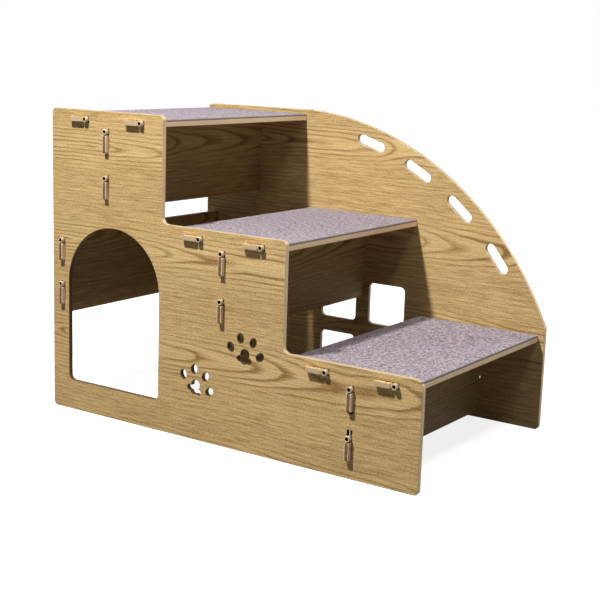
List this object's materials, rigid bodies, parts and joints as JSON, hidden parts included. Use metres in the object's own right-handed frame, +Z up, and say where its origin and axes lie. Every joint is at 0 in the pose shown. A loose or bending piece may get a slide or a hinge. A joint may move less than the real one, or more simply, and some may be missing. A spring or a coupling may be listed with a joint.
{
  "type": "pet stairs",
  "caption": "Flat-pack stepped pet stairs with an arched den doorway, paw cut-outs, carpeted treads and a curved side guard with hand slots.",
  "frame": {"origin": "middle of the footprint, on the floor", "axes": "+X from the back of the stairs towards the low front step, +Y across the stairs towards the guard, +Z up"},
  "size_m": [0.708, 0.43, 0.501],
  "materials": {
    "oak_board": "satin oak grain, veneer or print",
    "cross_board": null,
    "carpet": "speckled grey-mauve carpet",
    "plug": "matte, light tan"
  },
  "bodies": {
    "root": {"near_side_panel": "oak_board", "far_side_panel": "oak_board", "top_tread": "oak_board", "middle_tread": "oak_board", "lower_tread": "oak_board", "back_panel": "cross_board", "top_riser": "cross_board", "middle_riser": "cross_board", "lower_riser": "cross_board", "top_carpet": "carpet", "middle_carpet": "carpet", "lower_carpet": "carpet", "near_top_tread_plugs": "plug", "near_middle_tread_plugs": "plug", "near_lower_tread_plugs": "plug", "near_top_riser_plugs": "plug", "near_middle_riser_plugs": "plug", "near_lower_riser_plugs": "plug", "near_back_panel_plugs": "plug", "far_top_tread_plugs": "plug", "far_middle_tread_plugs": "plug", "far_lower_tread_plugs": "plug", "far_top_riser_plugs": "plug", "far_middle_riser_plugs": "plug", "far_lower_riser_plugs": "plug", "far_back_panel_plugs": "plug"}
  },
  "joints": []
}
